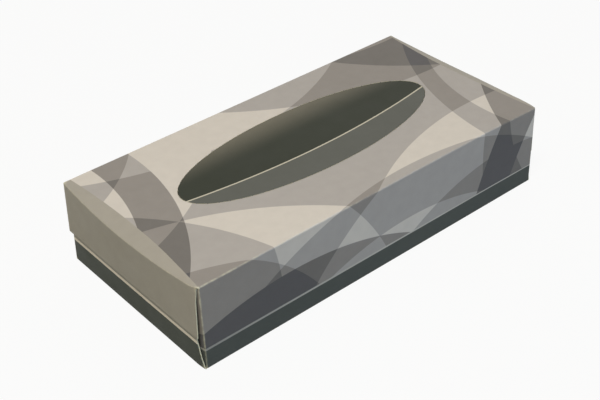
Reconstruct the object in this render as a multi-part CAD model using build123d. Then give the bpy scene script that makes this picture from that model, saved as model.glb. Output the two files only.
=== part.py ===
"""A flat carton of facial tissues, sealed, as it comes off the shelf.

The carton is folded from one blank of white-lined board. Four panels make a tube: top, two long
sides and bottom. Each end is closed by two dust flaps turned in from the sides, a tapered lower
flap glued up over them, and an upper flap glued down over that. The upper flap hangs from a curved
crease: it meets the top in a shallow lens-shaped facet between two arcs that share their ends, which
is what lets the top stay flat while the crease bows out and dips at mid-width.

The pack is unopened and can't be seen into, so it is one solid with the true outside form: folds,
laps, the open slits behind the flaps' free edges at the end that is closed more loosely, the
perforated oval of the tear-out, and the raw edge of the glued seam at the back.

Millimetres. The origin is the middle of the base, X runs along the carton, Z is up.
"""

from build123d import *
import os
from math import radians, sqrt, tan

# Blank, driving dimensions
length = 235.0  # bottom panel, from end fold to end fold
width = 117.0  # over the two long sides
height = 50.5  # base to top panel
board = 0.5  # thickness of the carton board
fold_radius = 0.8  # outside radius of a straight fold

# End closure
crease_bulge = 2.4  # at mid-width the curved crease stands out and dips by this much
crease_radius = 0.7  # outside radius of the curved crease
upper_flap_inset = 1.0  # free side edge of the upper flap, inside the long side
lap_height = 20.4  # lower edge of the upper flap, above the base
lap_bow = 0.2  # at mid-width that edge stands out by this much more
lower_flap_inset = 0.3  # side edge of the lower flap at its fold, inside the long side
lower_flap_taper = 9.0  # degrees by which each side edge of the lower flap leans in

# Near end, at -X, glued up loosely, with open slits behind the side edges of its flaps
near_dust_recess = 1.4  # the dust flaps lie this far inside the end fold
near_score_inset = 6.5  # at mid-width the inner arc of the facet lies this far inside it
near_lap_stand = 1.5  # outer face of the upper flap at its lower edge, outside the end fold
slit_depth = 6.0  # reach of an open slit behind a side edge

# Far end, at +X, pressed flat, board on board
far_dust_recess = 0.5
far_score_inset = 4.6
far_lap_stand = 0.6

# Tear-out oval in the top
oval_length = 168.0
oval_width = 59.0
oval_place = (3.1, 3.6)  # its middle, from the middle of the top
cut_width = 0.3  # width of the perforating cuts
cut_length = 5.0
nick_length = 0.8  # board left whole between two cuts

# Glued seam along the foot of the back long side
seam_height = 1.6  # raw edge of the back panel, above the base

# Working values
overlap = 5.0  # of joined volumes, hidden in the filled pack
clear = 10.0  # overrun of a cutter
buried = max(near_dust_recess, far_dust_recess) + overlap


def folded_tube():
    """Top, sides, bottom and dust flaps, with the seam's ledge along the foot of the back side."""
    near_face = near_dust_recess - length / 2
    far_face = length / 2 - far_dust_recess
    tube = Box(far_face - near_face, width, height, align=(Align.MIN, Align.CENTER, Align.MIN))
    folds = tube.edges().filter_by(Axis.X) + tube.edges().filter_by(Axis.Z)
    tube = Pos(near_face, 0, 0) * fillet(folds, fold_radius)
    ledge = Box(length, board, seam_height, align=(Align.CENTER, Align.MAX, Align.MIN))
    return tube - Pos(0, width / 2, 0) * ledge


def flap_outline(corner_stand, middle_stand, level):
    """Plan of the upper flap with what lies behind it, at one level of an end that faces +X."""
    edge = width / 2 - upper_flap_inset
    sides = Polyline(
        (corner_stand, edge), (-buried, edge), (-buried, -edge), (corner_stand, -edge)
    )
    face = ThreePointArc((corner_stand, -edge), (middle_stand, 0), (corner_stand, edge))
    return Pos(0, 0, level) * make_face(sides + face)


def upper_flap(lap_stand, inwards=0.0):
    """Everything behind a surface that lies this far inside the outer face of the upper flap."""
    foot = flap_outline(lap_stand - inwards, lap_stand + lap_bow - inwards, lap_height)
    head = flap_outline(-inwards, crease_bulge - inwards, height)
    return loft([foot, head])


def upper_slits(lap_stand):
    """The open space behind the upper flap's side edges, one board in from its outer face."""
    glued_width = width - 2 * (upper_flap_inset + slit_depth)
    glued_middle = Box(4 * clear, glued_width, 2 * height)
    facet_board = Pos(0, 0, height) * Box(4 * clear, width, 2 * crease_bulge)
    return upper_flap(lap_stand, board) - glued_middle - facet_board


def lean_profile(lap_stand, inwards=0.0):
    """Side view of the lower flap, which leans from its fold out to the lap."""
    top = lap_height + board
    lean = (lap_stand - board) / lap_height * top
    foot = Polyline((-buried, top), (-buried, inwards), (-inwards, inwards), (lean - inwards, top))
    return Plane.XZ * make_face(foot + Line((lean - inwards, top), (-buried, top)))


def tapered_front(half_width):
    """Front view of the lower flap, broad at its fold and narrower at the lap."""
    top = lap_height + board
    narrower = half_width - top * tan(radians(lower_flap_taper))
    outline = Polyline(
        (-half_width, 0), (half_width, 0), (narrower, top), (-narrower, top), close=True
    )
    return extrude(Plane.YZ * make_face(outline), clear, both=True)


def lower_flap(lap_stand):
    """The tapered flap under the lap, folded up from the bottom panel."""
    edge = width / 2 - lower_flap_inset
    solid = extrude(lean_profile(lap_stand), edge, both=True)
    fold = solid.edges().filter_by(Axis.Y).sort_by_distance((0, 0, 0))[0]
    return fillet(fold, fold_radius) & tapered_front(edge)


def lower_slits(lap_stand):
    """The open space behind the lower flap's side edges, one board in from its outer face."""
    glued_middle = tapered_front(width / 2 - lower_flap_inset - slit_depth)
    return extrude(lean_profile(lap_stand, board), width, both=True) - glued_middle


def facet_cutter(score_inset):
    """What lies above the facet: a cylinder through both arcs, its rulings sloping down outwards."""
    slope = crease_bulge / (crease_bulge + score_inset)
    outside = crease_bulge + clear
    middle_level = height - slope * (outside + score_inset)
    corner_level = height - slope * outside
    sag = corner_level - middle_level
    radius = (width**2 / 4 + sag**2) / (2 * sag)
    side = width / 2 + clear
    side_level = middle_level + radius - sqrt(radius**2 - side**2)
    arc = ThreePointArc((-side, side_level), (0, middle_level), (side, side_level))
    ceiling = height + clear
    frame = Polyline((side, side_level), (side, ceiling), (-side, ceiling), (-side, side_level))
    profile = Plane((outside, 0, 0), x_dir=(0, 1, 0), z_dir=(1, 0, 0)) * make_face(arc + frame)
    run = outside + score_inset + clear
    return extrude(profile, run * sqrt(1 + slope**2), dir=(-1, 0, slope))


def at_far_end(solid):
    """Places a solid that was built for an end facing +X."""
    return Pos(length / 2, 0, 0) * solid


def at_near_end(solid):
    return Rot(0, 0, 180) * at_far_end(solid)


def soften_creases(carton):
    """Rounds the two curved creases between the facets and the upper flaps."""
    middle = (length / 2 + crease_bulge, 0, height - crease_bulge)
    far_crease = carton.edges().sort_by_distance(middle)[0]
    near_crease = carton.edges().sort_by_distance((-middle[0], 0, middle[2]))[0]
    return fillet([near_crease, far_crease], crease_radius)


def perforation():
    """The cuts of the tear-out: a narrow elliptical groove, broken by evenly spaced nicks."""
    long_half = oval_length / 2
    short_half = oval_width / 2
    line = Ellipse(long_half, short_half).edge()
    outer = Ellipse(long_half + cut_width / 2, short_half + cut_width / 2)
    inner = Ellipse(long_half - cut_width / 2, short_half - cut_width / 2)
    groove = extrude(outer - inner, board)
    count = round(line.length / (cut_length + nick_length))
    bridge = Box(4 * cut_width, nick_length, 4 * board)
    bridges = []
    for number in range(count):
        along = number / count
        turn = Vector(0, 1, 0).get_signed_angle(line % along, Vector(0, 0, 1))
        bridges.append(Pos(line @ along) * Rot(0, 0, turn) * bridge)
    return Pos(oval_place[0], oval_place[1], height - board) * (groove - bridges)


carton = folded_tube()
carton += at_near_end(upper_flap(near_lap_stand) - upper_slits(near_lap_stand))
carton += at_near_end(lower_flap(near_lap_stand) - lower_slits(near_lap_stand))
carton += at_far_end(upper_flap(far_lap_stand))
carton += at_far_end(lower_flap(far_lap_stand))
carton -= at_near_end(facet_cutter(near_score_inset))
carton -= at_far_end(facet_cutter(far_score_inset))
carton = soften_creases(carton)
carton -= perforation()

os.makedirs("parts", exist_ok=True)
export_step(carton, "parts/carton.step")
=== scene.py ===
"""The printed tissue carton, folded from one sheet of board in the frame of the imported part.

The sheet replaces the solid node: it has the board's real thickness, with pale cut edges, open
slits behind the glued flaps, a perforated oval, and print that runs on round the folds.
"""

from collections import namedtuple
from math import acos, cos, pi, radians, sin, tan

import bmesh
import bpy
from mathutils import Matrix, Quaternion, Vector


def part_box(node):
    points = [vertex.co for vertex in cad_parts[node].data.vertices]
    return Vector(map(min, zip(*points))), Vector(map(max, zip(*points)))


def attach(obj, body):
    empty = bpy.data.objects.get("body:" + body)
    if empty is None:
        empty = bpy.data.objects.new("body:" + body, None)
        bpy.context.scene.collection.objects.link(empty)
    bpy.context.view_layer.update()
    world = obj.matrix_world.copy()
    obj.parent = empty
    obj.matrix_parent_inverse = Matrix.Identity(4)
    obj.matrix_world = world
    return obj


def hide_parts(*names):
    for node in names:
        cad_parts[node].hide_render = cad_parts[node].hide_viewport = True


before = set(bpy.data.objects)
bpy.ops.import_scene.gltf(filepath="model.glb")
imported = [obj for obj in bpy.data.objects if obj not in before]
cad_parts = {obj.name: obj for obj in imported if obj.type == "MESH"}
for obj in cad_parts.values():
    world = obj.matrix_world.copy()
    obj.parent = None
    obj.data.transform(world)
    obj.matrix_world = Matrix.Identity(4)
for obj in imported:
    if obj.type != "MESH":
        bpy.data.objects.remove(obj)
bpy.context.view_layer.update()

MM = 0.001
cad_low, cad_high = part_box("carton")

# Sizes of the carton, as in the part
LENGTH = 235 * MM
WIDTH = cad_high.y - cad_low.y
HEIGHT = cad_high.z - cad_low.z
BOARD = 0.5 * MM
FOLD_RADIUS = 0.8 * MM
CREASE_BULGE = 2.39 * MM  # a hair less than in the part, so that the sheet stays in its box
CREASE_RADIUS = 0.7 * MM
UPPER_FLAP_INSET = 1 * MM
LAP_HEIGHT = 20.4 * MM
LAP_BOW = 0.2 * MM
LOWER_FLAP_INSET = 0.3 * MM
LOWER_FLAP_TAPER = radians(9)
SEAM_HEIGHT = 1.6 * MM
OVAL_HALF_LENGTH = 84 * MM
OVAL_HALF_WIDTH = 29.5 * MM
OVAL_PLACE = Vector((3.1 * MM, 3.6 * MM, 0))
CUT_WIDTH = 0.3 * MM
CUT_LENGTH = 5 * MM
NICK_LENGTH = 0.8 * MM

# An end: its direction along x; how far the dust flaps and the inner arc lie inside the end fold;
# how far the lap stands outside it; the gap behind the lap; how far the two arcs end short of the
# front side; and how far the lid's and the foot's front corners are knocked in.
# The near end was closed less tightly, so its flaps stand out further.
End = namedtuple(
    "End", "toward dust_recess score_inset lap_stand lap_gap arc_stop lid_knock foot_knock"
)
NEAR = End(-1, 1.4 * MM, 6.5 * MM, 1.5 * MM, 0.3 * MM, 0, 0.9 * MM, 0.5 * MM)
FAR = End(1, 0.5 * MM, 4.6 * MM, 0.6 * MM, 0.04 * MM, 12 * MM, 0.5 * MM, 0)

# Sizes that only the sheet has
LOWER_FLAP_HEIGHT = 33 * MM
GLUE_FLAP_HEIGHT = 14 * MM
DUST_FLAP_LENGTH = 45 * MM
DUST_FLAP_TAPER = 1.5 * MM
DUST_TAPER_RUN = 6 * MM
DUST_SPRING = 7 * MM
GLUE_GAP = 0.04 * MM
SCORE_RADIUS = 4 * MM
SCORE_ROOM = 0.35  # share of the facet that its rounding at the inner arc may take
CREASE_ROOM = 0.5  # the same at the curved crease
LEAST_FACET = 0.35 * MM
ARC_FULLNESS = 0.85  # under 1, the inner arc is fuller than a parabola

# Damage: the corners that are knocked in and the one that is pushed down
KNOCK_REACH = 5 * MM
KNOCK_DROP = 8 * MM
KNOCK_SHARPNESS = 1.5
DENT_DEPTH = 1.4 * MM
DENT_REACH = 50 * MM
DENT_SHARPNESS = 1.3

# How worn the print is, with the painted highlight along folds, creases and corners: 0 is as
# printed, and from about 0.4 the board shows through
CORNER_WEAR_AND_HIGHLIGHT = 1.6
CORNER_WEAR_AND_HIGHLIGHT_REACH = 4 * MM
CRUSHED_WEAR_AND_HIGHLIGHT = 1.5
FOLD_WEAR_AND_HIGHLIGHT = 1.0
BESIDE_FOLD_WEAR_AND_HIGHLIGHT = 0.45
CREASE_WEAR_AND_HIGHLIGHT = 0.9
SCORE_WEAR_AND_HIGHLIGHT = 0.5
SCORE_WEAR_AND_HIGHLIGHT_FALL = 0.25  # with each step of the mesh away from the inner arc
END_FOLD_WEAR = 0.6
UPPER_EDGE_WEAR = 0.8
LOWER_EDGE_WEAR = 0.9
EDGE_WEAR_REACH = 1.2 * MM
NEAR_WEAR_AND_HIGHLIGHT_REACH = LENGTH / 2.8  # from the near end to where its heavier wear and painted highlight have faded
FAR_WEAR_AND_HIGHLIGHT_LOST = 0.45

# Steps of the mesh: along the panels, round the folds, across the strips and along a cut
FLAT_STEPS = 24
SCORE_STEPS = 4
FACET_STEPS = 3
CREASE_STEPS = 8
FLAP_STEPS = 8
FOLD_STEPS = 6
LOWER_FLAP_STEPS = 6
UNDER_LAP_STEPS = 5
SPRUNG_STEPS = 5
DUST_FLAP_STEPS = 6
GLUE_FLAP_STEPS = 4
LID_STRIPS = 48
BASE_STRIPS = 44
SIDE_STRIPS = 20
RING_POINTS = 720
CUT_STEPS = 4

HALF = LENGTH / 2
TOP_EDGE = WIDTH / 2 - FOLD_RADIUS
BASE_BACK_EDGE = TOP_EDGE - BOARD - GLUE_GAP
LID_EDGE = WIDTH / 2 - UPPER_FLAP_INSET
SIDE_TOP = HEIGHT - FOLD_RADIUS
FOLD_ARC = FOLD_RADIUS * pi / 2
SIDE_START = TOP_EDGE + FOLD_ARC
SIDE_END = SIDE_START + SIDE_TOP - FOLD_RADIUS
LAST_PRINTED = FLAT_STEPS + SCORE_STEPS // 2  # steps from the middle to where the print ends

# Places in the carton's list of materials
PRINT, END_PRINT, BASE_PRINT, CUT_EDGE, INSIDE = range(5)

Spot = namedtuple("Spot", "point place wear")


def camera():
    """The photograph's viewpoint, in the part's frame."""
    eye = Vector((-0.3323, -0.4022, 0.3849))
    aim = Vector((-0.0153, -0.0097, 0.025))
    roll = radians(-2.39)
    data = bpy.data.cameras.new("camera")
    data.sensor_width = 36
    data.lens = 69.12
    data.clip_start = 0.01
    seen = bpy.data.objects.new("camera", data)
    bpy.context.scene.collection.objects.link(seen)
    seen.location = eye
    seen.rotation_mode = "QUATERNION"
    turn = (aim - eye).to_track_quat("-Z", "Y")
    seen.rotation_quaternion = turn @ Quaternion((0, 0, 1), roll)
    bpy.context.scene.camera = seen


def clamped(value):
    return min(1.0, max(0.0, value))


def fading(away, reach):
    """1 where away is nothing, down to 0 where it is reach, and 0 beyond."""
    return max(0.0, 1 - away / reach)


def spread(start, end, count):
    """count + 1 evenly spaced values from start to end."""
    return [start + (end - start) * number / count for number in range(count + 1)]


def eased(start, end, count):
    """count + 1 values from start to end, closer together near both."""
    shares = [(1 - cos(pi * number / count)) / 2 for number in range(count + 1)]
    return [start + (end - start) * share for share in shares]


def run_along(path):
    """The distance along a path at each of its points."""
    reached = [0.0]
    for before, after in zip(path, path[1:]):
        reached.append(reached[-1] + (after - before).length)
    return reached


def rounded(before, corner, after, radius, room, steps):
    """The arc that rounds a path's corner, from the side of before to that of after."""
    back = (before - corner).normalized()
    on = (after - corner).normalized()
    half = acos(max(-1.0, min(1.0, back.dot(on)))) / 2
    reach = min(radius / tan(half), room)
    radius = reach * tan(half)
    centre = corner + (back + on).normalized() * (radius / sin(half))
    outward = (corner - centre).normalized()
    sideways = (on - back).normalized()
    swing = pi / 2 - half
    return [
        centre + (outward * cos(turn) + sideways * sin(turn)) * radius
        for turn in spread(-swing, swing, steps)
    ]


def spot(x, y, z, along, across, wear=0.0):
    """A vertex of the sheet: its point, its place on the flat blank, and how worn it is, with the
    painted highlight along folds, creases and corners.
    """
    to_corner = Vector((HALF - abs(x), WIDTH / 2 - abs(y), min(z, HEIGHT - z)))
    # Corners: wear and painted highlight
    rubbed_and_highlit = CORNER_WEAR_AND_HIGHLIGHT * near_end_share(x) * fading(to_corner.length, CORNER_WEAR_AND_HIGHLIGHT_REACH)
    return Spot(Vector((x, y, dented(x, y, z))), (along, across), max(wear, rubbed_and_highlit))


def near_end_share(x):
    """Share of the near end's wear and painted highlight at x, which fades before mid-length."""
    return 1 - FAR_WEAR_AND_HIGHLIGHT_LOST * clamped((HALF + x) / NEAR_WEAR_AND_HIGHLIGHT_REACH)


def fold_wear_and_highlight(turn):
    """Wear and painted highlight round a fold of a right angle, most at its middle."""
    return BESIDE_FOLD_WEAR_AND_HIGHLIGHT + (FOLD_WEAR_AND_HIGHLIGHT - BESIDE_FOLD_WEAR_AND_HIGHLIGHT) * sin(2 * turn)


def dented(x, y, z):
    """z with the lid's far front corner pushed down, and the panels below it bent as much."""
    away = Vector((HALF - x, WIDTH / 2 + y)).length
    return z * (1 - DENT_DEPTH / HEIGHT * fading(away, DENT_REACH) ** DENT_SHARPNESS)


class Sheet:
    """The board's outer face, panel by panel; neighbours share the vertices along their fold."""

    def __init__(self):
        self.mesh = bmesh.new()
        self.map = self.mesh.loops.layers.uv.new("blank")
        self.wear = self.mesh.verts.layers.float.new("wear")

    def panel(self, rows, material, outward):
        """Quads between rows of spots. material is an index, or gives one for a column of quads."""
        verts = [[self.vertex(place) for place in row] for row in rows]
        first = rows[0][0].point
        normal = (rows[0][1].point - first).cross(rows[1][0].point - first)
        flip = normal.dot(Vector(outward)) < 0
        for r in range(len(rows) - 1):
            for c in range(len(rows[0]) - 1):
                ring = [(r, c), (r, c + 1), (r + 1, c + 1), (r + 1, c)]
                if flip:
                    ring.reverse()
                face = self.mesh.faces.new([verts[i][j] for i, j in ring])
                face.material_index = material(c) if callable(material) else material
                face.smooth = True
                for loop, (i, j) in zip(face.loops, ring):
                    loop[self.map].uv = rows[i][j].place

    def vertex(self, place):
        made = self.mesh.verts.new(place.point)
        made[self.wear] = place.wear
        return made

    def to_object(self, name, materials):
        """Joins the panels where they share vertices."""
        bmesh.ops.remove_doubles(self.mesh, verts=self.mesh.verts[:], dist=0.001 * MM)
        made = to_object(self.mesh, name)
        for material in materials:
            made.data.materials.append(material)
        return made


def to_object(mesh, name):
    data = bpy.data.meshes.new(name)
    mesh.to_mesh(data)
    mesh.free()
    made = bpy.data.objects.new(name, data)
    bpy.context.scene.collection.objects.link(made)
    return made


def bow(end, y):
    """Share of the curved crease's bulge at y: 1 near mid-width, 0 where the two arcs meet."""
    middle = end.arc_stop / 2
    return max(0.0, 1 - ((y - middle) / (WIDTH / 2 - middle)) ** 2)


def knocked(p, y, depth, level):
    """A point of a lengthwise cut, pushed in where it lies near a front corner at that level."""
    beside = min(1.0, fading(TOP_EDGE + y, KNOCK_REACH)) ** KNOCK_SHARPNESS
    below = fading(abs(level - p.y), KNOCK_DROP)
    return Vector((p.x - depth * beside * below, p.y))


def fold_start(end):
    """x, from the middle, where the vertical fold of an end begins to turn."""
    return HALF - end.dust_recess - FOLD_RADIUS


def lap_edge(end, y):
    """(x, z) of the upper flap's lower edge."""
    return Vector((HALF + end.lap_stand + LAP_BOW * bow(end, y), LAP_HEIGHT))


def flap_face(end, y, z):
    """x of the upper flap's outer face, which leans from the lap out to the crease."""
    lap = lap_edge(end, y)
    head = Vector((HALF + CREASE_BULGE * bow(end, y), HEIGHT))
    return lap.lerp(head, (z - LAP_HEIGHT) / (HEIGHT - LAP_HEIGHT)).x


def lower_flap_face(end, y, z):
    """x of the lower flap's outer face, which leans out from its fold and lies under the lap."""
    behind = BOARD + end.lap_gap
    if z < LAP_HEIGHT:
        return HALF + (lap_edge(end, y).x - HALF - behind) * z / LAP_HEIGHT
    closed = min(1.0, (z - LAP_HEIGHT) / (LOWER_FLAP_HEIGHT - LAP_HEIGHT))
    return flap_face(end, y, z) - behind + (end.lap_gap - GLUE_GAP) * closed


def sprung(end, side, x, depth, z):
    """x of a dust flap at a depth below its side, sprung out against the flaps glued over it."""
    contact = side * (TOP_EDGE - DUST_SPRING)
    over = 1 - clamped((z - LOWER_FLAP_HEIGHT) / DUST_SPRING)
    out = lower_flap_face(end, contact, z) - (BOARD + GLUE_GAP) * over
    reach = FOLD_RADIUS + DUST_SPRING * min(1.0, z / LAP_HEIGHT)
    share = clamped((depth - FOLD_RADIUS) / reach)
    y = side * min(LID_EDGE, WIDTH / 2 - depth)
    cover = knocked(Vector((flap_face(end, y, z), z)), y, end.lid_knock, HEIGHT)
    return min(x + (out - x) * share, cover.x - BOARD - GLUE_GAP)


def crease(end, y):
    """(x, z) of the curved crease, before it is rounded."""
    level = HEIGHT - CREASE_BULGE * bow(end, y)
    return Vector((flap_face(end, y, level), level))


def inner_arc(end, y):
    """x, from the middle, where the top bends down into the facet."""
    return HALF - max(LEAST_FACET, end.score_inset * bow(end, y) ** ARC_FULLNESS)


def stations(end):
    """x, from the middle, of the vertices along a fold, closer together near the corner."""
    return [fold_start(end) * sin(turn) for turn in spread(0, pi / 2, FLAT_STEPS)]


def side_stations():
    """x of the vertices that neighbours share along a long fold, from end to end."""
    return [-x for x in reversed(stations(NEAR)[1:])] + stations(FAR)


def lid_path(end, y):
    """Half of a lengthwise cut through the lid: (x, z) outwards from the middle to the lap."""
    inner = Vector((inner_arc(end, y), HEIGHT))
    outer, lap = crease(end, y), lap_edge(end, y)
    facet = (outer - inner).length
    shrink = inner.x / inner_arc(end, TOP_EDGE)
    flat = [Vector((x * shrink, HEIGHT)) for x in stations(end)]
    score = rounded(flat[-1], inner, outer, SCORE_RADIUS, SCORE_ROOM * facet, SCORE_STEPS)
    fold = rounded(inner, outer, lap, CREASE_RADIUS, CREASE_ROOM * facet, CREASE_STEPS)
    across = [score[-1].lerp(fold[0], share) for share in spread(0, 1, FACET_STEPS)[1:-1]]
    down = [fold[-1].lerp(lap, share) for share in spread(0, 1, FLAP_STEPS)[1:]]
    tip = score + across + fold + down
    return flat + [knocked(p, y, end.lid_knock, HEIGHT) for p in tip]


def lid_half(end, y):
    """Spots of the lid from the middle out to one lap. The free flap draws in a little."""
    path = lid_path(end, y)
    middle_of_score = FLAT_STEPS + 1 + SCORE_STEPS / 2
    first_of_fold = FLAT_STEPS + 1 + SCORE_STEPS + FACET_STEPS
    middle_of_fold = first_of_fold + CREASE_STEPS / 2
    half = []
    for number, (p, along) in enumerate(zip(path, run_along(path))):
        # Pale lines along the curved crease and the inner arc: wear and painted highlight
        wear = CREASE_WEAR_AND_HIGHLIGHT * fading(abs(number - middle_of_fold), CREASE_STEPS / 2)
        wear = max(wear, SCORE_WEAR_AND_HIGHLIGHT - SCORE_WEAR_AND_HIGHLIGHT_FALL * abs(number - middle_of_score))
        edge_wear_and_highlight = UPPER_EDGE_WEAR
        if number <= FLAT_STEPS:
            edge_wear_and_highlight = BESIDE_FOLD_WEAR_AND_HIGHLIGHT * near_end_share(end.toward * p.x)
        wear = max(wear, edge_wear_and_highlight * fading(TOP_EDGE - abs(y), EDGE_WEAR_REACH))
        drawn_in = clamped((number - middle_of_fold) / (CREASE_STEPS / 2))
        across = y * (1 + (LID_EDGE / TOP_EDGE - 1) * drawn_in)
        half.append(spot(end.toward * p.x, across, p.y, end.toward * along, across, wear))
    return half


def add_lid(sheet):
    """Top panel, facets and upper flaps in one strip."""
    rows = []
    for y in eased(-TOP_EDGE, TOP_EDGE, LID_STRIPS):
        near, far = lid_half(NEAR, y), lid_half(FAR, y)
        rows.append(near[:0:-1] + far)
    middle = len(near) - 1

    def material(column):
        outwards = column - middle if column >= middle else middle - 1 - column
        return PRINT if outwards <= LAST_PRINTED else END_PRINT

    sheet.panel(rows, material, (-1, 0, 0))


def add_long_fold(sheet, side):
    """The rounded fold between the top and one long side."""
    rows = []
    for turn in spread(0, pi / 2, FOLD_STEPS):
        y = side * (TOP_EDGE + FOLD_RADIUS * sin(turn))
        z = SIDE_TOP + FOLD_RADIUS * cos(turn)
        across = side * (TOP_EDGE + FOLD_RADIUS * turn)
        wear = fold_wear_and_highlight(turn)
        rows.append([spot(x, y, z, x, across, wear * near_end_share(x)) for x in side_stations()])
    sheet.panel(rows, PRINT, (0, 0, 1))


def dust_flap_path(end):
    """(end, x, depth below the side's face, place along the blank, wear and painted highlight)
    round a vertical fold.
    """
    path = []
    for turn in spread(0, pi / 2, FOLD_STEPS)[1:]:
        x = fold_start(end) + FOLD_RADIUS * sin(turn)
        depth = FOLD_RADIUS * (1 - cos(turn))
        along = fold_start(end) + FOLD_RADIUS * turn
        path.append((x, depth, along, fold_wear_and_highlight(turn)))
    plane = HALF - end.dust_recess
    sprung_part = spread(0, DUST_SPRING, SPRUNG_STEPS)[1:]
    flat_part = spread(DUST_SPRING, DUST_FLAP_LENGTH, DUST_FLAP_STEPS)[1:]
    for reach in sprung_part + flat_part:
        along = fold_start(end) + FOLD_ARC + reach
        path.append((plane, FOLD_RADIUS + reach, along, 0.0))
    return [(end, x, depth, end.toward * along, wear) for x, depth, along, wear in path]


def add_side(sheet, side):
    """A long side with its two dust flaps, whose free edges draw in a little."""
    foot = SEAM_HEIGHT if side > 0 else FOLD_RADIUS
    beside_fold = (-fold_start(NEAR), fold_start(FAR))
    flat = [(None, x, 0.0, x, BESIDE_FOLD_WEAR_AND_HIGHLIGHT * (x in beside_fold)) for x in side_stations()]
    path = dust_flap_path(NEAR)[::-1] + flat + dust_flap_path(FAR)
    middle = HEIGHT / 2
    rows = []
    for z in eased(SIDE_TOP, foot, SIDE_STRIPS):
        row = []
        for end, x, depth, along, wear in path:
            share = clamped((depth - FOLD_RADIUS) / DUST_TAPER_RUN)
            level = z + (middle - z) * DUST_FLAP_TAPER / middle * share
            if end:
                x = end.toward * sprung(end, side, x, depth, level)
            across = side * (SIDE_START + SIDE_TOP - z)
            if z in (SIDE_TOP, FOLD_RADIUS):
                wear = max(wear, BESIDE_FOLD_WEAR_AND_HIGHLIGHT * near_end_share(x))
            row.append(spot(x, side * (WIDTH / 2 - depth), level, along, across, wear))
        rows.append(row)
    sheet.panel(rows, PRINT, (-1, 0, 0))


def add_top_corner(sheet, end, side):
    """The crushed corner under the lid, drawn out to the end of the curved crease."""
    rows = []
    tip = knocked(Vector((HALF, HEIGHT)), side * TOP_EDGE, end.lid_knock, HEIGHT).x
    for roll in spread(0, pi / 2, FOLD_STEPS):
        across = side * (TOP_EDGE + FOLD_RADIUS * roll)
        row = []
        for turn in spread(0, pi / 2, FOLD_STEPS):
            radius = FOLD_RADIUS * (1 - (1 - cos(turn)) * sin(roll) ** 2)
            lid = fold_start(end) + (tip - fold_start(end)) * sin(turn)
            fold = fold_start(end) + FOLD_RADIUS * sin(turn)
            fold = sprung(end, side, fold, FOLD_RADIUS * (1 - cos(turn)), SIDE_TOP)
            x = end.toward * (fold + (lid - fold) * cos(roll) ** 2)
            y = side * (TOP_EDGE + radius * sin(roll))
            z = SIDE_TOP + radius * cos(roll)
            along = end.toward * (fold_start(end) + FOLD_RADIUS * turn)
            # Crushed corner: wear and painted highlight
            row.append(spot(x, y, z, along, across, CRUSHED_WEAR_AND_HIGHLIGHT * near_end_share(x)))
        rows.append(row)
    sheet.panel(rows, PRINT, (0, 0, 1))


def add_bottom_corner(sheet, end, side, edge):
    """The crushed corner where the foot of a side, a vertical fold and an end fold meet."""
    rows = []
    for lift in spread(0, pi / 2, FOLD_STEPS):
        reach = FOLD_RADIUS * cos(lift)
        z = FOLD_RADIUS * (1 - sin(lift))
        across = side * (SIDE_END + FOLD_RADIUS * lift)
        row = []
        for turn in spread(0, pi / 2, FOLD_STEPS):
            x = end.toward * (fold_start(end) + reach * sin(turn))
            y = side * (edge + reach * cos(turn))
            along = end.toward * (fold_start(end) + FOLD_RADIUS * turn)
            row.append(spot(x, y, z, along, across, CRUSHED_WEAR_AND_HIGHLIGHT))
        rows.append(row)
    sheet.panel(rows, PRINT, (end.toward, side, -1))


def lower_edge(side, z):
    """y of the lower flap's side edge at a height."""
    return side * (WIDTH / 2 - LOWER_FLAP_INSET - z * tan(LOWER_FLAP_TAPER))


def base_path(end, y):
    """Half of a lengthwise cut through the base: (x, z) from the middle up the lower flap."""
    corner = Vector((HALF, 0))
    lean = Vector((lower_flap_face(end, y, LAP_HEIGHT), LAP_HEIGHT))
    flat = [Vector((x, 0)) for x in stations(end)]
    fold = rounded(flat[-1], corner, lean, FOLD_RADIUS, FOLD_RADIUS, FOLD_STEPS)
    up = [fold[-1].lerp(lean, share) for share in spread(0, 1, LOWER_FLAP_STEPS)[1:]]
    under_lap = spread(LAP_HEIGHT, LOWER_FLAP_HEIGHT, UNDER_LAP_STEPS)[1:]
    inside = [Vector((lower_flap_face(end, y, z), z)) for z in under_lap]
    return flat + [knocked(p, y, end.foot_knock, 0) for p in fold + up + inside]


def base_half(end, share):
    """Spots of the base from the middle up one lower flap, at a share of its width."""
    flat_y = -TOP_EDGE + (BASE_BACK_EDGE + TOP_EDGE) * share
    path = base_path(end, flat_y)
    half = []
    for number, (p, along) in enumerate(zip(path, run_along(path))):
        y = flat_y
        wear = 0.0
        if number > FLAT_STEPS:
            y = lower_edge(-1, p.y) + (lower_edge(1, p.y) - lower_edge(-1, p.y)) * share
            in_fold = number <= FLAT_STEPS + FOLD_STEPS
            edge = min(share, 1 - share) * WIDTH
            wear = END_FOLD_WEAR * in_fold + LOWER_EDGE_WEAR * fading(edge, EDGE_WEAR_REACH)
        half.append(spot(end.toward * p.x, y, p.y, end.toward * along, y, wear))
    return half


def add_base(sheet):
    """Bottom panel and lower flaps in one strip."""
    rows = []
    for share in eased(0, 1, BASE_STRIPS):
        rows.append(base_half(NEAR, share)[:0:-1] + base_half(FAR, share))
    sheet.panel(rows, BASE_PRINT, (-1, 0, 0))


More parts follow.
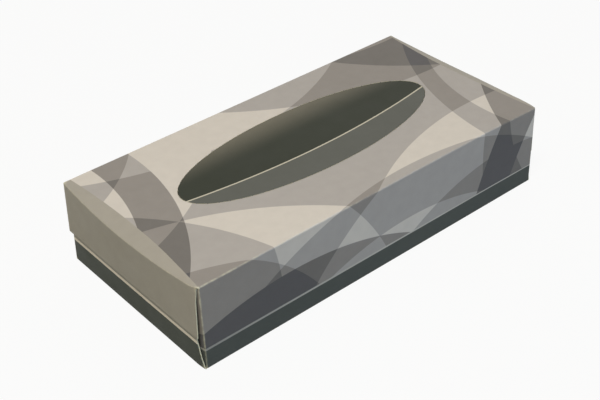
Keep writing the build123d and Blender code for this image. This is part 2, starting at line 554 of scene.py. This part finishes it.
def add_bottom_fold(sheet, side, edge, glue_flap):
    """The fold along the foot of one side, with the glue flap that stands up behind the back."""
    rows = []
    for turn in spread(0, pi / 2, FOLD_STEPS):
        y = side * (edge + FOLD_RADIUS * sin(turn))
        z = FOLD_RADIUS * (1 - cos(turn))
        across = side * (SIDE_END + FOLD_ARC - FOLD_RADIUS * turn)
        rows.append([spot(x, y, z, x, across, fold_wear_and_highlight(turn)) for x in side_stations()])
    if glue_flap:
        for z in spread(FOLD_RADIUS, GLUE_FLAP_HEIGHT, GLUE_FLAP_STEPS)[1:]:
            y = side * (edge + FOLD_RADIUS)
            rows.append([spot(x, y, z, x, side * SIDE_END) for x in side_stations()])
    sheet.panel(rows, PRINT, (0, 0, -1))


def oval_ring(count):
    """Points once round the oval's line, from its middle."""
    return [
        Vector((OVAL_HALF_LENGTH * cos(turn), OVAL_HALF_WIDTH * sin(turn), 0))
        for turn in spread(0, 2 * pi, count)
    ]


def on_ring(ring, reached, distance):
    """The point at a distance along the ring, and the direction there."""
    number = next(i for i in range(1, len(ring)) if reached[i] >= distance)
    before, after = ring[number - 1], ring[number]
    share = (distance - reached[number - 1]) / (reached[number] - reached[number - 1])
    return before.lerp(after, share), (after - before).normalized()


def add_sliver(mesh, sections):
    """A closed solid through rings of four corners."""
    loops = [[mesh.verts.new(corner) for corner in corners] for corners in sections]
    for before, after in zip(loops, loops[1:]):
        for k, n in ((0, 1), (1, 2), (2, 3), (3, 0)):
            mesh.faces.new([before[k], before[n], after[n], after[k]])
    mesh.faces.new(loops[0][::-1])
    mesh.faces.new(loops[-1])


def perforation_cuts():
    """Closed slivers that stand where the perforating rule has cut the top panel."""
    ring = oval_ring(RING_POINTS)
    reached = run_along(ring)
    count = round(reached[-1] / (CUT_LENGTH + NICK_LENGTH))
    pitch = reached[-1] / count
    overrun = BOARD
    drop = Vector((0, 0, BOARD + 2 * overrun))
    mesh = bmesh.new()
    for cut in range(count):
        start = cut * pitch + NICK_LENGTH / 2
        end = start + pitch - NICK_LENGTH
        sections = []
        for distance in spread(start, end, CUT_STEPS):
            place, ahead = on_ring(ring, reached, distance)
            aside = Vector((-ahead.y, ahead.x, 0)) * (CUT_WIDTH / 2)
            top = OVAL_PLACE + place + Vector((0, 0, HEIGHT + overrun))
            sections.append((top + aside, top + aside - drop, top - aside - drop, top - aside))
        add_sliver(mesh, sections)
    bmesh.ops.recalc_face_normals(mesh, faces=mesh.faces[:])
    return to_object(mesh, "cuts")


def apply_modifiers(obj):
    """Bakes an object's modifiers into its mesh."""
    graph = bpy.context.evaluated_depsgraph_get()
    done = bpy.data.meshes.new_from_object(obj.evaluated_get(graph))
    obj.modifiers.clear()
    obj.data = done


def thicken(carton):
    """Gives the sheet the board's thickness, inwards. Its faces are then outer, inner and rim."""
    outer = len(carton.data.polygons)
    board = carton.modifiers.new("board", "SOLIDIFY")
    board.thickness = BOARD
    board.offset = -1
    board.use_even_offset = True
    board.use_rim = True
    apply_modifiers(carton)
    for face in carton.data.polygons[outer:]:
        face.material_index = INSIDE if face.index < 2 * outer else CUT_EDGE


def perforate(carton):
    """Cuts the oval's perforation through the top."""
    cuts = perforation_cuts()
    cuts.data.materials.append(carton.data.materials[CUT_EDGE])
    cut = carton.modifiers.new("perforation", "BOOLEAN")
    cut.operation = "DIFFERENCE"
    cut.solver = "EXACT"
    cut.material_mode = "TRANSFER"
    cut.object = cuts
    apply_modifiers(carton)
    bpy.data.objects.remove(cuts)


def shade(carton):
    """Keeps cut edges crisp and panels flat beside their rounded folds."""
    carton.data.set_sharp_from_angle(angle=radians(32))
    weighted = carton.modifiers.new("flat_panels", "WEIGHTED_NORMAL")
    weighted.keep_sharp = True
    weighted.weight = 100
    apply_modifiers(carton)


def build_carton(materials):
    """The folded sheet with its thickness and the perforated oval."""
    sheet = Sheet()
    add_lid(sheet)
    add_base(sheet)
    for side, edge in ((-1, TOP_EDGE), (1, BASE_BACK_EDGE)):
        add_long_fold(sheet, side)
        add_side(sheet, side)
        add_bottom_fold(sheet, side, edge, glue_flap=side > 0)
        for end in (NEAR, FAR):
            add_top_corner(sheet, end, side)
            add_bottom_corner(sheet, end, side, edge)
    carton = sheet.to_object("printed_carton", materials)
    thicken(carton)
    perforate(carton)
    shade(carton)
    return carton


# Print, in blank coordinates: along and across from the middle of the top panel
BAND_HEIGHT = 11.4 * MM
FLAP_BAND_HEIGHT = 15.25 * MM
FLAP_STRIPE = 2.1 * MM
STRIPE_NEAR = 1.35 * MM
STRIPE_FAR = 0.6 * MM
OVAL_ARC_RADIUS = 474 * MM
OVAL_ARC_PLACE = Vector((3.0 * MM, -7.1 * MM + OVAL_ARC_RADIUS, 0))
OVAL_LINE = 0.9 * MM
SHEEN_START = 0.25  # from the oval's middle towards its upper rim, in half widths
SHEEN_END = 1.15
END_ARC_RADIUS = 480 * MM
NEAR_ARC_PLACE = Vector((-110.9 * MM - END_ARC_RADIUS, 10 * MM, 0))
FAR_ARC_PLACE = Vector((112.8 * MM + END_ARC_RADIUS, 0, 0))
CRISP = 0.12 * MM  # half the width over which a printed edge fades

# Broad ribbons: centre along and across, radius and width in millimetres, and steps up the scale
# of tones
RIBBONS = (
    (-215, -95, 121, 54, -1),
    (-150, -170, 149, 40, 1),
    (95, -215, 162, 46, 1),
    (20, -245, 176, 34, -1),
    (205, -40, 96, 30, 1),
    (262, -70, 165, 44, -1),
    (330, -190, 262, 26, -2),
    (110, 205, 172, 44, -1),
    (-175, 140, 150, 44, 1),
    (210, 150, 150, 38, -1),
    (-30, 210, 162, 38, 1),
    (-230, 50, 141, 23, -2),
    (-60, -262, 172, 24, -2),
    (60, 250, 168, 26, -2),
    (-120, 205, 128, 26, -2),
)


def colour(red, green, blue):
    """A colour written as it looks on a screen, 0 to 255, in linear values."""
    values = [v / 255 for v in (red, green, blue)]
    return (*(v / 12.92 if v <= 0.04045 else ((v + 0.055) / 1.055) ** 2.4 for v in values), 1.0)


TONES = (
    colour(92, 89, 87),
    colour(114, 109, 102),
    colour(142, 135, 126),
    colour(168, 161, 152),
    colour(203, 194, 180),
)
BASE_STEP = 3  # the tone where no ribbon lies
BAND_INK = colour(77, 80, 74)
FLAP_BAND_INK = colour(58, 62, 50)
STRIPE_INK = colour(190, 184, 170)
DULL_STRIPE_INK = colour(148, 145, 135)
FLAP_STRIPE_INK = colour(230, 218, 198)
OVAL_DARK = colour(52, 54, 44)
OVAL_LIGHT = colour(112, 107, 92)
CRESCENT = colour(91, 91, 83)
OVAL_LINE_INK = colour(192, 184, 162)
END_INK = colour(161, 154, 140)
# Pale board: bare at cut edges and worn print, and painted as the highlight along folds, creases
# and corners
BARE_BOARD = colour(214, 207, 174)
INSIDE_BOARD = colour(158, 150, 136)

# Finish: where wear and the noise added to it have rubbed the ink off, and where the highlight
# along folds, creases and corners is painted in the same pale board, and how it looks there
RUB_CONTRAST = 1.3
RUB_OFFSET = -0.9
RUB_START = 0.1
RUB_FULL = 1.5
RUBBED_AND_HIGHLIT_SHARE = 0.8
RUBBED_ROUGHNESS = 0.3
MOTTLE = (0.975, 1.025)
VARNISH_ROUGHNESS = (0.42, 0.52)
VARNISH_SPECULAR = 0.07
VARNISH_BUMP = 0.12
FIBRE_SHADE = (0.88, 1.06)
FIBRE_BUMP = 0.3
BUMP_DEPTH = 0.1 * MM


class Nodes:
    """A new material, and short names for adding nodes to it."""

    def __init__(self, name):
        self.material = bpy.data.materials.new(name)
        self.material.use_nodes = True
        self.tree = self.material.node_tree
        self.shader = self.tree.nodes["Principled BSDF"]

    def add(self, kind, **settings):
        node = self.tree.nodes.new("ShaderNode" + kind)
        for name, value in settings.items():
            setattr(node, name, value)
        return node

    def put(self, socket, value):
        """Links an output to a socket, or sets the socket to a plain value."""
        if isinstance(value, bpy.types.NodeSocket):
            self.tree.links.new(value, socket)
        else:
            socket.default_value = value

    def fill(self, node, *values):
        """Puts values into a node's first sockets, and gives its first output."""
        for socket, value in zip(node.inputs, values):
            self.put(socket, value)
        return node.outputs[0]

    def math(self, operation, *values):
        return self.fill(self.add("Math", operation=operation), *values)

    def vector_math(self, operation, *values):
        return self.fill(self.add("VectorMath", operation=operation), *values)

    def ramp(self, value, start, end, first=0.0, last=1.0, kind="SMOOTHSTEP"):
        """first where value is start, last where it is end, and smooth between."""
        node = self.add("MapRange", interpolation_type=kind, clamp=True)
        return self.fill(node, value, start, end, first, last)

    def within(self, value, limit, soft=CRISP):
        """1 where value is under limit, with a crisp edge."""
        if isinstance(limit, bpy.types.NodeSocket):
            low, high = self.math("SUBTRACT", limit, soft), self.math("ADD", limit, soft)
        else:
            low, high = limit - soft, limit + soft
        return self.ramp(value, low, high, 1.0, 0.0)

    def mix(self, share, first, second):
        """A colour between first and second."""
        node = self.add("Mix", data_type="RGBA")
        self.put(node.inputs[0], share)
        self.put(node.inputs[6], first)
        self.put(node.inputs[7], second)
        return node.outputs[2]

    def distance(self, place, centre):
        node = self.add("VectorMath", operation="DISTANCE")
        self.fill(node, place, centre)
        return node.outputs["Value"]

    def noise(self, scale, detail, stretch=(1, 1, 1)):
        """Noise over the surface, with scale in cells for each metre."""
        place = self.add("TexCoord").outputs["Object"]
        node = self.add("TexNoise")
        self.put(node.inputs["Vector"], self.vector_math("MULTIPLY", place, stretch))
        self.put(node.inputs["Scale"], scale)
        self.put(node.inputs["Detail"], detail)
        return node.outputs[0]

    def patchy(self, noise, first, last, spare=0.3):
        """Noise brought between first and last, with a spare share of its range at each end."""
        return self.ramp(noise, spare, 1 - spare, first, last, kind="LINEAR")

    def paint(self, tint, shade):
        """Gives the shader a colour, made lighter or darker by shade."""
        node = self.add("VectorMath", operation="SCALE")
        self.put(node.inputs[0], tint)
        self.put(node.inputs["Scale"], shade)
        self.put(self.shader.inputs["Base Color"], node.outputs[0])

    def roughen(self, strength, noise):
        """Gives the shader fine bumps."""
        node = self.add("Bump")
        self.put(node.inputs["Strength"], strength)
        self.put(node.inputs["Distance"], BUMP_DEPTH)
        self.put(node.inputs["Height"], noise)
        self.put(self.shader.inputs["Normal"], node.outputs[0])


def ribbon_tone(nodes, place):
    """The tone that the overlapping ribbons add up to."""
    total = float(BASE_STEP)
    for along, across, radius, width, step in RIBBONS:
        centre = (along * MM, across * MM, 0)
        away = nodes.math("SUBTRACT", nodes.distance(place, centre), radius * MM)
        inside = nodes.within(nodes.math("ABSOLUTE", away), width / 2 * MM)
        total = nodes.math("MULTIPLY_ADD", inside, float(step), total)
    scale = nodes.add("ValToRGB")
    stops = scale.color_ramp.elements
    last = len(TONES) - 1
    for number in range(1, last):
        stops.new(number / last)
    for stop, tone in zip(stops, TONES):
        stop.color = tone
    return nodes.fill(scale, nodes.math("DIVIDE", total, float(last)))


def oval_fields(nodes, place, across, under):
    """The oval's two fields, parted by a pale arc."""
    centred = nodes.vector_math("SUBTRACT", place, OVAL_PLACE)
    squeeze = (OVAL_HALF_WIDTH / OVAL_HALF_LENGTH, 1, 0)
    length = nodes.add("VectorMath", operation="LENGTH")
    nodes.fill(length, nodes.vector_math("MULTIPLY", centred, squeeze))
    inside = nodes.within(length.outputs["Value"], OVAL_HALF_WIDTH)
    low = OVAL_PLACE.y + SHEEN_START * OVAL_HALF_WIDTH
    high = OVAL_PLACE.y + SHEEN_END * OVAL_HALF_WIDTH
    upper = nodes.mix(nodes.ramp(across, low, high), OVAL_DARK, OVAL_LIGHT)
    away = nodes.distance(place, OVAL_ARC_PLACE)
    fields = nodes.mix(nodes.within(away, OVAL_ARC_RADIUS), CRESCENT, upper)
    from_arc = nodes.math("ABSOLUTE", nodes.math("SUBTRACT", away, OVAL_ARC_RADIUS))
    fields = nodes.mix(nodes.within(from_arc, OVAL_LINE / 2), fields, OVAL_LINE_INK)
    return nodes.mix(inside, under, fields)


def end_fields(nodes, place, across, under):
    """The plain ink of the ends, which reaches into the top under an arc at each end."""
    inside = 0.0
    for centre in (NEAR_ARC_PLACE, FAR_ARC_PLACE):
        reached = nodes.within(nodes.distance(place, centre), END_ARC_RADIUS)
        inside = nodes.math("MAXIMUM", inside, reached)
    on_top = nodes.within(nodes.math("ABSOLUTE", across), TOP_EDGE)
    return nodes.mix(nodes.math("MULTIPLY", inside, on_top), under, END_INK)


def foot_band(nodes, along, across, under):
    """The dark band round the foot of the long sides, under a thin pale stripe."""
    reach = nodes.math("ABSOLUTE", across)
    band_edge = SIDE_START + SIDE_TOP - BAND_HEIGHT
    stripe = nodes.ramp(along, -HALF, HALF, STRIPE_NEAR, STRIPE_FAR, kind="LINEAR")
    above_stripe = nodes.within(reach, nodes.math("SUBTRACT", band_edge, stripe))
    dull = nodes.ramp(along, -HALF, 0, 1.0, 0.0, kind="LINEAR")
    striped = nodes.mix(above_stripe, nodes.mix(dull, STRIPE_INK, DULL_STRIPE_INK), under)
    return nodes.mix(nodes.within(reach, band_edge), BAND_INK, striped)


def varnish(nodes, ink):
    """Ink under a satin varnish on fibrous board, rubbed thin where the sheet is worn, and turned
    pale as a painted highlight along folds, creases and corners.
    """
    wear = nodes.add("Attribute", attribute_name="wear").outputs["Fac"]
    grain = nodes.noise(scale=420, detail=5)
    rub = nodes.math("MULTIPLY_ADD", grain, RUB_CONTRAST, RUB_OFFSET)
    rubbed_and_highlit = nodes.ramp(nodes.math("ADD", wear, rub), RUB_START, RUB_FULL)
    # Pale board mixed in where the print is worn, and as the painted highlight
    worn_and_highlit = nodes.mix(nodes.math("MULTIPLY", rubbed_and_highlit, RUBBED_AND_HIGHLIT_SHARE), ink, BARE_BOARD)
    nodes.paint(worn_and_highlit, nodes.patchy(nodes.noise(scale=160, detail=6), *MOTTLE))
    varnished = nodes.patchy(nodes.noise(scale=60, detail=4), *VARNISH_ROUGHNESS)
    rough = nodes.math("MULTIPLY_ADD", rubbed_and_highlit, RUBBED_ROUGHNESS, varnished)
    nodes.put(nodes.shader.inputs["Roughness"], rough)
    nodes.put(nodes.shader.inputs["Specular IOR Level"], VARNISH_SPECULAR)
    nodes.roughen(VARNISH_BUMP, nodes.noise(scale=1800, detail=3))
    return nodes.material


def print_material():
    """Top, long sides and dust flaps."""
    nodes = Nodes("print")
    place = nodes.add("UVMap", uv_map="blank").outputs[0]
    split = nodes.add("SeparateXYZ")
    nodes.put(split.inputs[0], place)
    along, across = split.outputs[0], split.outputs[1]
    ink = ribbon_tone(nodes, place)
    ink = oval_fields(nodes, place, across, ink)
    ink = end_fields(nodes, place, across, ink)
    ink = foot_band(nodes, along, across, ink)
    return varnish(nodes, ink)


def end_material():
    """Facets and upper flaps, in one plain ink."""
    return varnish(Nodes("end_print"), END_INK)


def base_material():
    """Bottom and lower flaps: the dark band, a pale stripe, and the ends' ink up under the lap."""
    nodes = Nodes("base_print")
    split = nodes.add("SeparateXYZ")
    nodes.put(split.inputs[0], nodes.add("TexCoord").outputs["Object"])
    level = split.outputs[2]
    in_stripe = nodes.within(level, FLAP_BAND_HEIGHT + FLAP_STRIPE)
    striped = nodes.mix(in_stripe, END_INK, FLAP_STRIPE_INK)
    ink = nodes.mix(nodes.within(level, FLAP_BAND_HEIGHT), striped, FLAP_BAND_INK)
    return varnish(nodes, ink)


def board_material(name, tint, rough):
    """Unprinted board: pressed fibres, in layers where it is cut."""
    nodes = Nodes(name)
    fibres = nodes.noise(scale=900, detail=4, stretch=(1, 1, 3))
    nodes.paint(tint[:3], nodes.patchy(fibres, *FIBRE_SHADE, spare=0.25))
    nodes.put(nodes.shader.inputs["Roughness"], rough)
    nodes.roughen(FIBRE_BUMP, nodes.noise(scale=1500, detail=4))
    return nodes.material


# Studio
FLOOR_REACH = 6
FLOOR_TINT = (0.45, 0.45, 0.38, 1)
FLOOR_GLOW = 0.93
ROOM_LIGHT = 0.12
LAMP_AIM = Vector((0, 0, 0.03))

# Lamps: name, place, size, power and tint
LAMPS = (
    ("key", (-0.54, -0.35, 1.4), 0.3, 18, (1, 0.99, 0.97)),
    ("back_fill", (0.9, 0.6, 1.2), 0.8, 4.2, (1, 0.99, 0.98)),
    ("front_fill", (0.35, -1.5, 0.25), 0.8, 8.4, (0.3, 0.55, 1)),
)


def seen_directly(nodes):
    """1 for the rays that show a background: from the camera, or in gloss and glass."""
    path = nodes.add("LightPath").outputs
    gloss = nodes.math("MAXIMUM", path["Is Glossy Ray"], path["Is Transmission Ray"])
    return nodes.math("MAXIMUM", path["Is Camera Ray"], gloss)


def add_floor():
    """A pale floor that shows as white and keeps a soft shadow."""
    mesh = bmesh.new()
    bmesh.ops.create_grid(mesh, x_segments=1, y_segments=1, size=FLOOR_REACH)
    floor = to_object(mesh, "floor")
    nodes = Nodes("floor")
    nodes.put(nodes.shader.inputs["Base Color"], FLOOR_TINT)
    nodes.put(nodes.shader.inputs["Roughness"], 0.8)
    light = nodes.add("Emission").outputs[0]
    glow = nodes.math("MULTIPLY", seen_directly(nodes), FLOOR_GLOW)
    both = nodes.fill(nodes.add("MixShader"), glow, nodes.shader.outputs[0], light)
    nodes.put(nodes.tree.nodes["Material Output"].inputs["Surface"], both)
    floor.data.materials.append(nodes.material)


def add_light(name, place, size, power, tint):
    """A soft square lamp that faces the middle of the carton."""
    data = bpy.data.lights.new(name, "AREA")
    data.size = size
    data.energy = power
    data.color = tint
    lamp = bpy.data.objects.new(name, data)
    bpy.context.scene.collection.objects.link(lamp)
    lamp.location = place
    lamp.rotation_mode = "QUATERNION"
    lamp.rotation_quaternion = (LAMP_AIM - Vector(place)).to_track_quat("-Z", "Y")
    lamp.visible_camera = False


def add_room():
    """A white room, dim to the carton itself, so that the lamps shape it."""
    world = bpy.data.worlds.new("room")
    world.use_nodes = True
    tree = world.node_tree
    path = tree.nodes.new("ShaderNodeLightPath")
    shown = path.outputs["Is Camera Ray"]
    for name in ("Is Glossy Ray", "Is Transmission Ray"):
        either = tree.nodes.new("ShaderNodeMath")
        either.operation = "MAXIMUM"
        tree.links.new(shown, either.inputs[0])
        tree.links.new(path.outputs[name], either.inputs[1])
        shown = either.outputs[0]
    strength = tree.nodes.new("ShaderNodeMapRange")
    strength.inputs["To Min"].default_value = ROOM_LIGHT
    tree.links.new(shown, strength.inputs["Value"])
    background = tree.nodes["Background"]
    background.inputs["Color"].default_value = (1, 1, 1, 1)
    tree.links.new(strength.outputs[0], background.inputs["Strength"])
    bpy.context.scene.world = world


camera()
add_room()
add_floor()
for lamp in LAMPS:
    add_light(*lamp)
materials = [
    print_material(),
    end_material(),
    base_material(),
    board_material("cut_edge", BARE_BOARD, rough=0.85),
    board_material("inside", INSIDE_BOARD, rough=0.9),
]
carton = build_carton(materials)
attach(carton, "root")
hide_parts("carton")

bpy.context.scene.view_settings.view_transform = "Standard"
